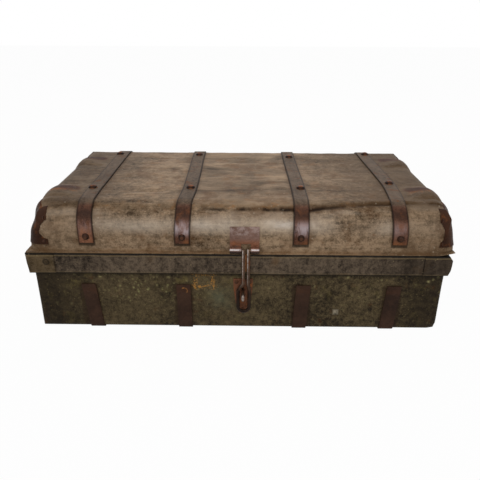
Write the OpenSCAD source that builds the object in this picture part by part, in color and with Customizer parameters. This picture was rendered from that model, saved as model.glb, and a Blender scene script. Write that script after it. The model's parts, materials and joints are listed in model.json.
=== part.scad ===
// Metal travel trunk with a flat-topped lid, a deep rim, iron straps, corner plates and a wire hasp.
// Millimetres, +Z up, -Y to the front, the floor at z = 0.

/* [Rim] */
// Length of the lid's rim over its end bands
rim_l = 762; // [700:1:860]
// Depth of the lid's rim over its front and back bands
rim_d = 436; // [400:1:500]
// Height of the rim's bottom edge above the ground
rim_z = 120; // [110:1:150]
// Height of the rim
rim_h = 40; // [36:1:60]
// Thickness of the rim's bands
rim_t = 1.2; // [0.8:0.1:1.6]
// Width of the rim's inward leg
rim_leg = 14; // [13:1:20]
// Length of an end band's return round a corner
rim_lap = 50; // [40:1:70]

/* [Base] */
// Thickness of the trunk's sheet
sheet_t = 1; // [0.7:0.1:1.4]
// Distance from the rim's outer face in to the base's wall
base_inset = 7.5; // [7:0.1:9]
// Radius of the base's bends
base_r = 6; // [4:1:12]
// Width of the band that the base sheet turns over its end panels
base_band = 12; // [8:1:20]
// Diameter of the wire in the base's rolled top edge
wire_d = 5; // [4:0.5:5]

/* [Lid] */
// Height of the lid's top above the ground
lid_top = 244; // [236:1:290]
// Distance from the rim's outer face in to the lid's front wall
lid_inset = 5.6; // [4:0.1:7]
// Distance from the rim's end in to the lid's end wall
lid_end_inset = 5.5; // [4.5:0.1:8]
// How far the lid's body sits to the right on its rim
lid_shift = 3.5; // [0:0.1:3.5]
// Radius of the front and back shoulders
shoulder_r = 52; // [40:1:60]
// Radius of the lid's top edge over the ends
end_r = 30; // [20:1:40]
// Radius of the lid's upright corners
lid_corner_r = 20; // [14:1:24]
// Width of the band that the lid sheet turns over its end panels
lid_band = 14; // [8:1:20]
// Places of the pressed flutes, in from the front wall and from the back wall
flute_y = [96.4, 124.4]; // [80:0.1:140]
// Width of a flute
flute_w = 72; // [50:1:90]
// Length of a flute from the lid's end
flute_l = 70; // [50:1:90]
// Rise of a flute above the top
flute_rise = 5; // [3:0.5:7]

/* [Straps] */
// Width of the straps
strap_w = 26; // [20:1:32]
// Thickness of the straps
strap_t = 2.5; // [2:0.1:3.5]
// Distance from the rim's end in to the outer straps
strap_inset = 100; // [90:1:110]
// Distance from the middle out to the inner straps
strap_inner = 106; // [95:1:115]
// How far all the straps sit to the right
strap_shift = 4; // [0:1:5]
// How far each base strap sits off the lid strap above it
base_strap_slip = [0, 0, 6, -2]; // [-8:1:8]
// Height of the lid straps' ends above the rim's top
lid_strap_end = 19; // [16:1:22]
// Distance from the rim's bottom edge down to the base straps' ends
base_strap_end = 26; // [20:1:40]
// Places of the front rivets on top, in from the front wall, strap by strap
top_front_y = [106.4, 109.4, 109.4, 142.4]; // [90:0.1:160]
// Places of the back rivets on top, in from the back wall, strap by strap
top_back_y = [72.4, 74.4, 90.4, 64.4]; // [60:0.1:110]

/* [Corner plates] */
// Thickness of the corner plates
plate_t = 1.4; // [1:0.1:1.4]
// Reach of a plate along the front from the lid's end
plate_x = 38; // [34:1:50]
// Reach of a plate along the end from the lid's front
plate_y = 58; // [50:1:58]
// Radius of the hollow in a plate's front edge, as far as its rivets let it
front_hollow = 17; // [12:1:17]
// Radius of the hollow in a plate's end edge
end_hollow = 22; // [16:1:24]
// Height of a plate's bottom edge above the rim's top
plate_z = 15; // [8:1:18]

/* [Hasp] */
// Place of the hasp plate, from the middle to the right
hasp_x = 10.3; // [-20:0.1:20]
// Width of the hasp plate
hasp_w = 52; // [48:1:60]
// Top of the hasp plate above the pivot
hasp_h = 42; // [36:1:46]
// Thickness of the hasp plate
hasp_t = 2.2; // [1.8:0.1:2.4]
// Height of the hasp's pivot above the rim's top
pivot_h = 8; // [7.5:0.1:9]
// Diameter of the hasp's wire
hasp_wire_d = 6.35; // [5.8:0.05:6.6]
// Distance between the centres of the hasp's two rods
rod_gap = 8.9; // [7.5:0.1:9.5]
// How far the rods sit right of the plate's middle
rod_shift = 2.6; // [0:0.1:3]
// Distance from the pivot down to the end of the eye's curve
hasp_l = 126.2; // [124:0.1:128]
// Width of the eye over the wire
eye_w = 26.9; // [26:0.1:28]
// How far the eye sits left of the rods
eye_shift = 3.7; // [0:0.1:4]

/* [Staple] */
// Place of the staple and its plate
staple_x = 8; // [-20:0.1:20]
// Distance from the rim's bottom edge down to the staple's middle
staple_drop = 41; // [40:0.5:42]
// Outer radius of the staple's bend
staple_r = 10; // [9:0.1:10.5]
// Thickness of the staple's stock
staple_d = 5.2; // [4.5:0.1:5.5]
// How far the staple's bend starts in front of the hasp's wire
staple_reach = 3.6; // [2.5:0.1:4]
// Width of the staple plate at its top
shield_w = 36; // [30:1:44]
// Height of the staple plate
shield_h = 72; // [64:1:76]

/* [Hinges] */
// Distance from the middle out to the hinges
hinge_x = 190; // [170:1:200]
// Width of a hinge
hinge_w = 60; // [48:1:72]
// Radius of the hinge knuckles
knuckle_r = 5; // [4.5:0.1:5.5]
// Diameter of the hinge pins
pin_d = 5; // [4:0.1:5]
// Thickness of the hinge leaves
leaf_t = 2; // [1.5:0.1:2.5]
// Height of an upper leaf above the hinge's axis
upper_leaf_h = 36; // [32:1:38]
// Drop of a lower leaf below the hinge's axis
lower_leaf_h = 60; // [50:1:70]

/* [Handles] */
// Height of the handles' axis above the ground
handle_z = 92; // [88:1:94]
// Width of a bail between the centres of its legs
bail_w = 96; // [90:1:130]
// Drop of a bail from its axis to the centre of its grip
bail_h = 46; // [40:1:55]
// Diameter of a bail's rod
bail_d = 8; // [7:0.5:9]
// Width of a handle bracket
lug_w = 26; // [22:1:32]
// Height of a handle bracket
lug_h = 42; // [40:1:46]

/* [Rivets and fits] */
// Radius of the rivet heads
head_r = 6.3; // [5:0.1:7]
// Height of the rivet heads
head_h = 5.5; // [2:0.1:6]
// Radius of the small rivets' heads
small_head_r = 4; // [3.5:0.1:4.5]
// Height of the small rivets' heads
small_head_h = 2; // [1.2:0.1:2.4]
// Radius of the rivets' shanks
shank_r = 2.2; // [1.8:0.1:2.4]
// Gap round a rivet or a pin, and in the laps of the sheets
fit = 0.05; // [0.03:0.01:0.08]
// Running gap between the lid and the base
play = 0.3; // [0.2:0.05:0.4]

/* [Hidden] */
$fn = 64;

// Colours as the photograph shows them
base_colour = "#3a3529";
lid_colour = "#6b5d4b";
rim_colour = "#453d31";
strap_colour = "#4a2d22";
rust_colour = "#6a3f26";
dark_colour = "#352823";

// Halves of the main sizes
rim_hx = rim_l / 2;
rim_hy = rim_d / 2;
base_hx = rim_hx - base_inset;
base_hy = rim_hy - base_inset;
lid_hx = rim_hx - lid_end_inset;
lid_hy = rim_hy - lid_inset;

// Heights
floor_z = strap_t;
rim_top = rim_z + rim_h;
bead_r = wire_d / 2 + sheet_t;
bead_z = rim_top - rim_t - play - bead_r;
shoulder_z = lid_top - shoulder_r;

// Radius of the upper corners of the lid sheet's end openings
window_r = 12;

// Straps
strap_side = rim_hx - strap_inset;
lid_strap_x = [
    strap_shift - strap_side, strap_shift - strap_inner, strap_shift + strap_inner, strap_shift + strap_side
];
base_strap_x = [for (i = [0 : 3]) lid_strap_x[i] + base_strap_slip[i]];
lid_strap_z = rim_top + lid_strap_end;
base_strap_z = rim_z - base_strap_end;
strap_rivet_in = strap_w / 2;
lid_rivet_z = lid_strap_z + strap_rivet_in - 1;
base_rivet_z = base_strap_z - strap_rivet_in + 1;

// Flutes, from the middle to the back
flute_places = [flute_y[0] - lid_hy, lid_hy - flute_y[1]];

// Hasp and staple
pivot_z = rim_top + pivot_h;
barrel_r = hasp_wire_d / 2 + fit + hasp_t;
pivot_y = -lid_hy - barrel_r - play;
rod_y = -rim_hy - hasp_wire_d / 2 - 0.1;
rod_x = hasp_x + rod_shift;
rod_slot = rod_gap + hasp_wire_d + 2;
slot_rise = 11;
eye_x = rod_x - eye_shift;
eye_r = (eye_w - hasp_wire_d) / 2;
eye_z = pivot_z - hasp_l + hasp_wire_d / 2 + eye_r;
staple_z = rim_z - staple_drop;
staple_y = rod_y - staple_reach;
// How far the eye's straight sides reach above the staple's middle, and the length of the fork over them
eye_above_staple = 9.25;
fork_l = 15;
eye_top_z = staple_z + eye_above_staple;
fork_z = eye_top_z + fork_l;
// How far the staple plate reaches above the staple's middle
shield_above_staple = 29;
shield_top = staple_z + shield_above_staple;

// Hinges
hinge_y = rim_hy - rim_t + play + knuckle_r;
third = hinge_w / 3;
shelf_z = rim_z - knuckle_r - 4;

// Handles
lug_t = 3;
barrel_wall = 3;
lug_r = bail_d / 2 + fit + barrel_wall;
lug_seat = base_hx - sheet_t - fit;
handle_x = lug_seat + lug_r + 1;
lug_y = bail_w / 2 + bail_d / 2 + 3 + lug_w / 2;

// Corner plates' rivets: in from the plate's front edge, and the upper one's turn up the shoulder
plate_rivet_in = 8;
plate_rivet_turn = 35;
plate_low_z = rim_top + plate_z + 6;
plate_high_z = shoulder_z + (shoulder_r + plate_t) * sin(plate_rivet_turn);
plate_hollow_r = min(front_hollow, norm([plate_rivet_in, (plate_high_z - plate_low_z) / 2]) - small_head_r - 1);

// Room for a flat rivet tail under the round of the shoulder
round_gap = 0.14;

// How far round edges stand past the flats that they meet
ease = 0.12;

// How far the balls at a rod's bends stand over it
ball_over = 0.03;

// Builds

// Outline with round upper corners, grown by g
module arch(half, top, r, bottom, g) {
    translate([-half - g, bottom])
        square([2 * (half + g), top - r - bottom]);
    translate([r - half, bottom])
        square([2 * (half - r), top + g - bottom]);
    intersection() {
        for (side = [-1, 1])
            translate([side * (half - r + ease), top - r + ease])
                circle(r + g);
        translate([-half - g, bottom])
            square([2 * (half + g), top + g - bottom]);
    }
}

// Rectangle with round corners, grown by g
module plan(hx, hy, r, g) {
    square([2 * (hx - r), 2 * (hy + g)], center = true);
    square([2 * (hx + g), 2 * (hy - r)], center = true);
    intersection() {
        for (x = [-1, 1], y = [-1, 1])
            translate([x * (hx - r + ease), y * (hy - r + ease)])
                circle(r + g);
        square([2 * (hx + g), 2 * (hy + g)], center = true);
    }
}

// Outline in Y and Z, drawn out along X
module along_x(length, x = 0) {
    translate([x - length / 2, 0, 0])
        rotate([90, 0, 90])
            linear_extrude(length)
                children();
}

// Outline in X and Z, drawn out along Y
module along_y(length, y = 0) {
    translate([0, y + length / 2, 0])
        rotate([90, 0, 0])
            linear_extrude(length)
                children();
}

// The lid's body grown by g, down to the height bottom
module lid_form(g, bottom = rim_top) {
    translate([lid_shift, 0, 0])
        intersection() {
            along_x(2 * rim_l)
                arch(lid_hy, lid_top, shoulder_r, bottom, g);
            along_y(2 * rim_d)
                arch(lid_hx, lid_top, end_r, bottom, g);
            translate([0, 0, bottom - 1])
                linear_extrude(lid_top)
                    plan(lid_hx, lid_hy, lid_corner_r, g);
        }
}

// Swelling of one flute at one end, grown by g
module flute(side, y, g) {
    round_r = ((flute_w / 2) ^ 2 + flute_rise ^ 2) / (2 * flute_rise);
    long_rise = flute_rise + 1;
    long_r = (flute_l ^ 2 + long_rise ^ 2) / (2 * long_rise);
    intersection() {
        translate([lid_shift + side * (lid_hx - flute_l - 20), y - flute_w / 2 - g, lid_top - end_r])
            mirror([side < 0 ? 1 : 0, 0, 0])
                cube([flute_l + 20, flute_w + 2 * g, 2 * end_r]);
        along_x(2 * rim_l)
            translate([y, lid_top + flute_rise - round_r])
                circle(round_r + g, $fn = 128);
        along_y(2 * rim_d)
            translate([lid_shift + side * lid_hx, lid_top + long_rise - long_r])
                circle(long_r + g, $fn = 256);
        along_x(2 * rim_l)
            arch(lid_hy, lid_top + long_rise, shoulder_r + long_rise, rim_top, g);
        translate([lid_shift, 0, 0])
            along_y(2 * rim_d)
                arch(lid_hx - 0.5, lid_top + long_rise, end_r + long_rise, rim_top, g);
    }
}

// The base's body grown by g, up to the height top
module base_form(g, top) {
    intersection() {
        along_x(2 * rim_l)
            mirror([0, 1])
                arch(base_hy, -floor_z, base_r, -top, g);
        along_y(2 * rim_d)
            mirror([0, 1])
                arch(base_hx, -floor_z, base_r, -top, g);
        linear_extrude(2 * rim_top)
            plan(base_hx, base_hy, base_r, g);
    }
}

// Ring of round stock along the base's top edge, between two radii
module bead(outer, inner) {
    hx = base_hx - sheet_t / 2;
    hy = base_hy - sheet_t / 2;
    module section() {
        difference() {
            circle(outer);
            if (inner > 0) circle(inner);
        }
    }
    translate([0, 0, bead_z]) {
        for (y = [-hy, hy])
            translate([base_r - hx, y, 0])
                rotate([90, 0, 90])
                    linear_extrude(2 * (hx - base_r))
                        section();
        for (x = [-hx, hx])
            translate([x, hy - base_r, 0])
                rotate([90, 0, 0])
                    linear_extrude(2 * (hy - base_r))
                        section();
        for (turn = [0, 1, 2, 3]) {
            x = (turn == 0 || turn == 3 ? 1 : -1) * (hx - base_r);
            y = (turn < 2 ? 1 : -1) * (hy - base_r);
            translate([x, y, 0])
                rotate([0, 0, 90 * turn])
                    rotate_extrude(angle = 90)
                        translate([base_r, 0])
                            section();
        }
    }
}

// Round rod from p to q, with a ball a hair over its size at q
module rod(p, q, r) {
    d = q - p;
    len = norm(d);
    translate(p)
        rotate([0, acos(d[2] / len), atan2(d[1], d[0])])
            cylinder(r = r, h = len);
    translate(q)
        sphere(r + ball_over);
}

// Dome with a flat foot at z = 0
module dome(r, h) {
    ball = (r ^ 2 + h ^ 2) / (2 * h);
    rotate_extrude()
        intersection() {
            translate([0, h - ball])
                circle(ball);
            square([r, h]);
        }
}

// Rivet along Z, its head's foot at z = 0, through a stack of sheets
module rivet(r, h, grip, tail) {
    dome(r, h);
    translate([0, 0, -grip])
        cylinder(r = shank_r, h = grip);
    translate([0, 0, -grip - tail])
        cylinder(r = shank_r + 1, h = tail);
}

// Hole for a rivet's shank
module rivet_hole(grip) {
    translate([0, 0, -grip - 2])
        cylinder(r = shank_r + fit, h = grip + 4);
}

// Turns the Z axis to the front, back, left or right
module facing(side) {
    turn = side == "front" ? [90, 0, 0] : side == "back" ? [-90, 0, 0] : side == "left" ? [0, -90, 0] :
        side == "right" ? [0, 90, 0] : [180, 0, 0];
    rotate(turn)
        children();
}

// Place at a height on the lid's front or back, or on the shoulder above, a layer above the sheet
module on_lid_side(x, side, z, layer) {
    r = shoulder_r + layer;
    angle = z > shoulder_z ? asin((z - shoulder_z) / r) : 0;
    over = z > shoulder_z ? ease : 0;
    translate([x, side * (lid_hy - shoulder_r + over + r * cos(angle)), z + over])
        rotate([-side * (90 - angle), 0, 0])
            children();
}

// Rivet places

module lid_strap_places() {
    for (i = [0 : 3]) {
        for (side = [-1, 1])
            on_lid_side(lid_strap_x[i], side, lid_rivet_z, strap_t)
                children();
        for (y = [top_front_y[i] - lid_hy, lid_hy - top_back_y[i]])
            translate([lid_strap_x[i], y, lid_top + strap_t])
                children();
    }
}

module base_strap_places() {
    for (x = base_strap_x) {
        for (side = [-1, 1])
            translate([x, side * (base_hy + strap_t), base_rivet_z])
                rotate([-side * 90, 0, 0])
                    children();
    }
}

// Upper and lower rivet of each corner plate
module corner_places() {
    for (x = [-1, 1], y = [-1, 1], z = [plate_low_z, plate_high_z])
        on_lid_side(lid_shift + x * (lid_hx - plate_x + plate_rivet_in), y, z, plate_t)
            children();
}

// Rivet of each corner plate on the end wall
module corner_end_places() {
    for (x = [-1, 1], y = [-1, 1])
        translate([
            lid_shift + x * (lid_hx + plate_t), y * (lid_hy - lid_corner_r - small_head_r - 4), plate_low_z
        ])
            facing(x < 0 ? "left" : "right")
                children();
}

module hasp_plate_places() {
    for (x = [-1, 1], z = [-1, 1])
        translate([hasp_x + x * (hasp_w / 2 - 7), -lid_hy - hasp_t, pivot_z + 15 + z * 5])
            facing("front")
                children();
}

module shield_places() {
    for (x = [-1, 1])
        translate([staple_x + x * (shield_w / 2 - 6), -base_hy - leaf_t, shield_top - 6])
            facing("front")
                children();
    translate([staple_x, -base_hy - leaf_t, shield_top - shield_h + 8])
        facing("front")
            children();
}

module rim_places() {
    for (x = [-1, 1], y = [-1, 1])
        translate([x * (rim_hx - rim_lap * 0.7), y * rim_hy, rim_z + rim_h * 0.55])
            rotate([-y * 90, 0, 0])
                children();
}

module upper_leaf_places() {
    for (hinge = [-hinge_x, hinge_x], x = [-1, 0, 1])
        translate([hinge + x * third, rim_hy - rim_t + leaf_t, rim_z + upper_leaf_h * 0.6])
            facing("back")
                children();
}

module lower_leaf_places() {
    for (hinge = [-hinge_x, hinge_x])
        for (p = [[-third, 22], [third, 22], [0, lower_leaf_h - 12]])
            translate([hinge + p[0], base_hy + leaf_t, rim_z - p[1]])
                facing("back")
                    children();
}

module lug_places() {
    for (x = [-1, 1], y = [-1, 1], z = [-1, 1])
        translate([x * (lug_seat + lug_t), y * lug_y, handle_z + z * (lug_h / 2 - 5)])
            facing(x < 0 ? "left" : "right")
                children();
}

// Base

module base_sheet() color(base_colour)
    difference() {
        union() {
            difference() {
                base_form(0, bead_z);
                base_form(-sheet_t, bead_z + 1);
            }
            intersection() {
                bead(bead_r, wire_d / 2 + fit);
                cube([2 * (base_hx - base_r - base_band), rim_l, rim_l], center = true);
            }
        }
        for (x = [-1, 1]) {
            translate([x * base_hx, 0, rim_l / 2 + floor_z + base_r + base_band])
                cube([4 * sheet_t, 2 * (base_hy - base_r - base_band), rim_l], center = true);
            translate([x * (base_hx + base_r), 0, bead_z + rim_h])
                cube([4 * base_r + 2 * base_band - 0.02, rim_l, 2 * (rim_h + bead_r + fit)], center = true);
        }
        bead(wire_d / 2 + fit, 0);
        base_strap_places() rivet_hole(strap_t + sheet_t);
        shield_places() rivet_hole(leaf_t + sheet_t);
        staple_legs(fit);
        lower_leaf_places() rivet_hole(leaf_t + sheet_t);
    }

module base_end(side) color(base_colour)
    difference() {
        union() {
            intersection() {
                base_form(-sheet_t - fit, bead_z);
                translate([side * (base_hx - sheet_t - fit - sheet_t / 2), 0, 0])
                    cube([sheet_t, rim_l, rim_l], center = true);
            }
            intersection() {
                bead(bead_r, wire_d / 2 + fit);
                translate([side * (base_hx - base_r - base_band + rim_l / 2), 0, 0])
                    cube([rim_l - 2 * fit, rim_l, rim_l], center = true);
            }
        }
        bead(wire_d / 2 + fit, 0);
        lug_places() rivet_hole(lug_t + sheet_t);
    }

module base_left_end() base_end(-1);
module base_right_end() base_end(1);

module base_top_wire() color(dark_colour)
    bead(wire_d / 2, 0);

module base_strap(x) color(strap_colour)
    difference() {
        along_x(strap_w, x)
            difference() {
                mirror([0, 1]) arch(base_hy, -floor_z, base_r, -base_strap_z, strap_t);
                mirror([0, 1]) arch(base_hy, -floor_z, base_r, -base_strap_z - 1, 0);
            }
        base_strap_places() rivet_hole(strap_t);
    }

module base_strap_1() base_strap(base_strap_x[0]);
module base_strap_2() base_strap(base_strap_x[1]);
module base_strap_3() base_strap(base_strap_x[2]);
module base_strap_4() base_strap(base_strap_x[3]);

module base_strap_rivets() color(rust_colour)
    base_strap_places() rivet(head_r, head_h / 2, strap_t + sheet_t, 1);

// Staple

module staple_legs(gap) {
    for (z = [-1, 1])
        translate([staple_x, staple_y, staple_z + z * (staple_r - staple_d / 2)])
            rotate([-90, 0, 0])
                cylinder(r = staple_d / 2 + gap, h = -base_hy - staple_y + sheet_t);
}

module staple_plate() color(rust_colour)
    difference() {
        along_y(leaf_t, -base_hy - leaf_t / 2)
            translate([staple_x, shield_top])
                polygon([
                    [-shield_w / 2, 0], [shield_w / 2, 0], [shield_w / 2 - 1, -shield_h / 3],
                    [shield_w / 3, -shield_h * 0.8], [shield_w / 6, -shield_h], [-shield_w / 6, -shield_h],
                    [-shield_w / 3, -shield_h * 0.8], [1 - shield_w / 2, -shield_h / 3]
                ]);
        shield_places() rivet_hole(leaf_t);
        staple_legs(fit);
    }

module staple() color(dark_colour) {
    staple_legs(0);
    translate([staple_x, staple_y, staple_z])
        rotate([0, 90, 0])
            rotate([0, 0, 180])
                rotate_extrude(angle = 180)
                    translate([staple_r - staple_d / 2, 0])
                        circle(staple_d / 2);
    for (z = [-1, 1])
        translate([staple_x, sheet_t - base_hy, staple_z + z * (staple_r - staple_d / 2)])
            rotate([-90, 0, 0])
                cylinder(r = staple_d / 2 + 1, h = 1.5);
}

module staple_rivets() color(rust_colour)
    shield_places() rivet(small_head_r, small_head_h / 2, leaf_t + sheet_t, 1);

// Hinges

module hinge_bore(hinge) {
    along_x(2 * hinge_w, hinge)
        translate([hinge_y, rim_z])
            circle(pin_d / 2 + fit);
}

module lower_leaf(hinge) color(rim_colour)
    difference() {
        union() {
            along_x(hinge_w, hinge)
                translate([base_hy, rim_z - lower_leaf_h])
                    square([leaf_t, shelf_z - rim_z + lower_leaf_h + leaf_t]);
            for (x = [-third, third])
                along_x(third - 2 * play, hinge + x) {
                    translate([base_hy, shelf_z])
                        square([hinge_y - base_hy + leaf_t / 2, leaf_t]);
                    translate([hinge_y - leaf_t / 2, shelf_z])
                        square([leaf_t, rim_z - shelf_z]);
                    translate([hinge_y, rim_z])
                        circle(knuckle_r);
                }
        }
        hinge_bore(hinge);
        lower_leaf_places() rivet_hole(leaf_t);
    }

module upper_leaf(hinge) color(rim_colour)
    difference() {
        union() {
            along_x(hinge_w, hinge)
                translate([rim_hy - rim_t, rim_z + knuckle_r + 2])
                    square([leaf_t, upper_leaf_h - knuckle_r - 2]);
            along_x(third - 2 * play, hinge) {
                translate([rim_hy - rim_t, rim_z])
                    square([leaf_t, knuckle_r + 3]);
                translate([hinge_y, rim_z])
                    circle(knuckle_r);
            }
        }
        hinge_bore(hinge);
        upper_leaf_places() rivet_hole(leaf_t);
    }

module left_hinge_lower_leaf() lower_leaf(-hinge_x);
module right_hinge_lower_leaf() lower_leaf(hinge_x);
module left_hinge_upper_leaf() upper_leaf(-hinge_x);
module right_hinge_upper_leaf() upper_leaf(hinge_x);

module hinge_pins() color(dark_colour)
    for (hinge = [-hinge_x, hinge_x])
        translate([hinge, hinge_y, rim_z])
            rotate([0, 90, 0]) {
                cylinder(r = pin_d / 2, h = hinge_w, center = true);
                for (end = [0, 180])
                    rotate([end, 0, 0])
                        translate([0, 0, hinge_w / 2])
                            dome(pin_d / 2 + 1, 2);
            }

module hinge_lower_rivets() color(rust_colour)
    lower_leaf_places() rivet(small_head_r, small_head_h, leaf_t + sheet_t, 1);

module hinge_upper_rivets() color(rust_colour)
    upper_leaf_places() rivet(small_head_r, small_head_h, leaf_t + rim_t + fit, rim_t / 3);

// Handles

module handle_brackets(side) color(rim_colour)
    difference() {
        union()
            for (y = [-1, 1]) {
                translate([side * (lug_seat + lug_t / 2), y * lug_y, handle_z])
                    cube([lug_t, lug_w, lug_h], center = true);
                translate([side * handle_x, y * lug_y, handle_z])
                    rotate([90, 0, 0])
                        cylinder(r = lug_r, h = lug_w, center = true);
                translate([side * (lug_seat + handle_x) / 2, y * lug_y, handle_z])
                    cube([handle_x - lug_seat, lug_w, lug_r], center = true);
            }
        translate([side * handle_x, 0, handle_z])
            rotate([90, 0, 0])
                cylinder(r = bail_d / 2 + fit, h = rim_d, center = true);
        lug_places() rivet_hole(lug_t);
    }

module left_handle_brackets() handle_brackets(-1);
module right_handle_brackets() handle_brackets(1);

module handle_rivets() color(rust_colour)
    lug_places() rivet(small_head_r, small_head_h, lug_t + sheet_t, 1);

module bail(side) color(dark_colour)
    translate([side * handle_x, 0, handle_z]) {
        bend = 12;
        r = bail_d / 2;
        leg = bail_w / 2;
        pin_end = lug_y + lug_w / 2;
        for (y = [-1, 1]) {
            rod([0, y * pin_end, 0], [0, y * leg, 0], r);
            rod([0, y * leg, 0], [0, y * leg, bend - bail_h], r);
            translate([0, y * (leg - bend), bend - bail_h])
                rotate([0, 90, 0])
                    rotate([0, 0, y < 0 ? -90 : 0])
                        rotate_extrude(angle = 90)
                            translate([bend, 0])
                                circle(r);
        }
        rod([0, bend - leg, -bail_h], [0, leg - bend, -bail_h], r);
    }

module left_handle_bail() bail(-1);
module right_handle_bail() bail(1);

// Lid

module lid_sheet() color(lid_colour)
    difference() {
        union() {
            lid_form(0);
            for (side = [-1, 1], y = flute_places)
                flute(side, y, 0);
            translate([0, 0, rim_top])
                linear_extrude(sheet_t)
                    square([rim_l - 1, rim_d - 1], center = true);
        }
        lid_form(-sheet_t, rim_top - 5);
        for (side = [-1, 1], y = flute_places)
            translate([-side * sheet_t, 0, 0])
                flute(side, y, -sheet_t);
        for (side = [-1, 1])
            along_x(6 * sheet_t, lid_shift + side * lid_hx)
                arch(lid_hy - lid_band - lid_corner_r, lid_top - lid_band - end_r, window_r,
                    rim_top + sheet_t + window_r, 0);
        lid_strap_places() rivet_hole(strap_t + sheet_t);
        corner_places() rivet_hole(plate_t + sheet_t);
        corner_end_places() rivet_hole(plate_t + sheet_t);
        hasp_plate_places() rivet_hole(hasp_t + sheet_t);
    }

module lid_end(side) color(lid_colour)
    difference() {
        intersection() {
            lid_form(-sheet_t - fit);
            translate([lid_shift + side * (lid_hx - sheet_t - fit - sheet_t / 2), 0, 0])
                cube([sheet_t, rim_l, 2 * rim_l], center = true);
        }
        corner_end_places() rivet_hole(plate_t + 2 * sheet_t);
    }

module lid_left_end() lid_end(-1);
module lid_right_end() lid_end(1);

module rim_long(side) color(rim_colour)
    difference() {
        union() {
            translate([0, side * (rim_hy - rim_t * 1.5 - fit / 2), rim_z + rim_h / 2])
                cube([rim_l - 2 * rim_t - 2 * fit, rim_t, rim_h], center = true);
            translate([0, side * (rim_hy - rim_t - rim_leg / 2), rim_top - rim_t / 2])
                cube([rim_l - 2 * rim_t - 2 * fit, rim_leg, rim_t], center = true);
        }
        rim_places() rivet_hole(2 * rim_t);
        upper_leaf_places() rivet_hole(leaf_t + rim_t);
    }

module rim_front() rim_long(-1);
module rim_back() rim_long(1);

module rim_end(side) color(rim_colour)
    difference() {
        union() {
            translate([side * (rim_hx - rim_t / 2), 0, rim_z + rim_h / 2])
                cube([rim_t, rim_d, rim_h], center = true);
            for (y = [-1, 1])
                translate([side * (rim_hx - rim_lap / 2), y * (rim_hy - rim_t / 2), rim_z + rim_h / 2])
                    cube([rim_lap, rim_t, rim_h], center = true);
            translate([side * (rim_hx - rim_leg / 2), 0, rim_top - rim_t / 2])
                cube([rim_leg, rim_d - 2 * rim_t - 2 * rim_leg - 2 * fit, rim_t], center = true);
        }
        rim_places() rivet_hole(rim_t);
    }

module rim_left() rim_end(-1);
module rim_right() rim_end(1);

module rim_rivets() color(rust_colour)
    rim_places() rivet(small_head_r, small_head_h / 2, 2 * rim_t + fit, rim_t / 3);

module lid_strap(x) color(strap_colour)
    difference() {
        along_x(strap_w, x)
            difference() {
                arch(lid_hy, lid_top, shoulder_r, lid_strap_z, strap_t);
                arch(lid_hy, lid_top, shoulder_r, lid_strap_z - 1, 0);
            }
        lid_strap_places() rivet_hole(strap_t);
    }

module lid_strap_1() lid_strap(lid_strap_x[0]);
module lid_strap_2() lid_strap(lid_strap_x[1]);
module lid_strap_3() lid_strap(lid_strap_x[2]);
module lid_strap_4() lid_strap(lid_strap_x[3]);

module lid_strap_rivets() color(rust_colour)
    lid_strap_places() rivet(head_r, head_h, strap_t + sheet_t + (lid_rivet_z > shoulder_z ? round_gap : 0), 1);

// Corner plates

module corner_plate(x, y) color(rust_colour) {
    end = lid_shift + x * lid_hx;
    bottom = rim_top + plate_z;
    plate_h = lid_top - bottom - flute_rise;
    difference() {
        intersection() {
            difference() {
                lid_form(plate_t, bottom);
                lid_form(0, bottom - 2);
            }
            translate([end, y * lid_hy, bottom])
                mirror([x > 0 ? 1 : 0, 0, 0])
                    mirror([0, y > 0 ? 1 : 0, 0])
                        translate([-2 * plate_t, -2 * plate_t, 0])
                            cube([plate_x + 2 * plate_t, plate_y + 2 * plate_t, plate_h]);
        }
        along_y(rim_d, y * rim_hy)
            translate([end - x * plate_x, (plate_low_z + plate_high_z) / 2])
                circle(plate_hollow_r);
        along_x(rim_d, end)
            translate([y * (lid_hy - plate_y), bottom])
                circle(end_hollow);
        corner_places() rivet_hole(plate_t);
        corner_end_places() rivet_hole(plate_t);
    }
}

module front_left_corner() corner_plate(-1, -1);
module front_right_corner() corner_plate(1, -1);
module back_left_corner() corner_plate(-1, 1);
module back_right_corner() corner_plate(1, 1);

module corner_rivets() color(rust_colour) {
    corner_places() rivet(small_head_r, small_head_h, plate_t + sheet_t + round_gap, 1);
    corner_end_places() rivet(small_head_r, small_head_h, plate_t + 2 * sheet_t + fit, 1);
}

// Hasp

module hasp_plate() color(strap_colour)
    difference() {
        along_x(hasp_w, hasp_x)
            difference() {
                union() {
                    difference() {
                        arch(lid_hy, lid_top, shoulder_r, pivot_z, hasp_t);
                        arch(lid_hy, lid_top, shoulder_r, pivot_z - 1, 0);
                        translate([-rim_d, pivot_z + hasp_h])
                            square([2 * rim_d, rim_d]);
                        translate([0, pivot_z - 1])
                            square([rim_d, rim_d]);
                    }
                    translate([pivot_y, pivot_z])
                        circle(barrel_r);
                    translate([pivot_y, pivot_z])
                        square([-lid_hy - pivot_y, hasp_t]);
                }
                translate([pivot_y, pivot_z])
                    circle(hasp_wire_d / 2 + fit);
            }
        translate([rod_x - rod_slot / 2, -rim_d, pivot_z - rim_h])
            cube([rod_slot, rim_d, rim_h + slot_rise]);
        hasp_plate_places() rivet_hole(hasp_t);
    }

module hasp_plate_rivets() color(strap_colour)
    hasp_plate_places() rivet(small_head_r, small_head_h / 2.5, hasp_t + sheet_t, 1);

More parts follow.
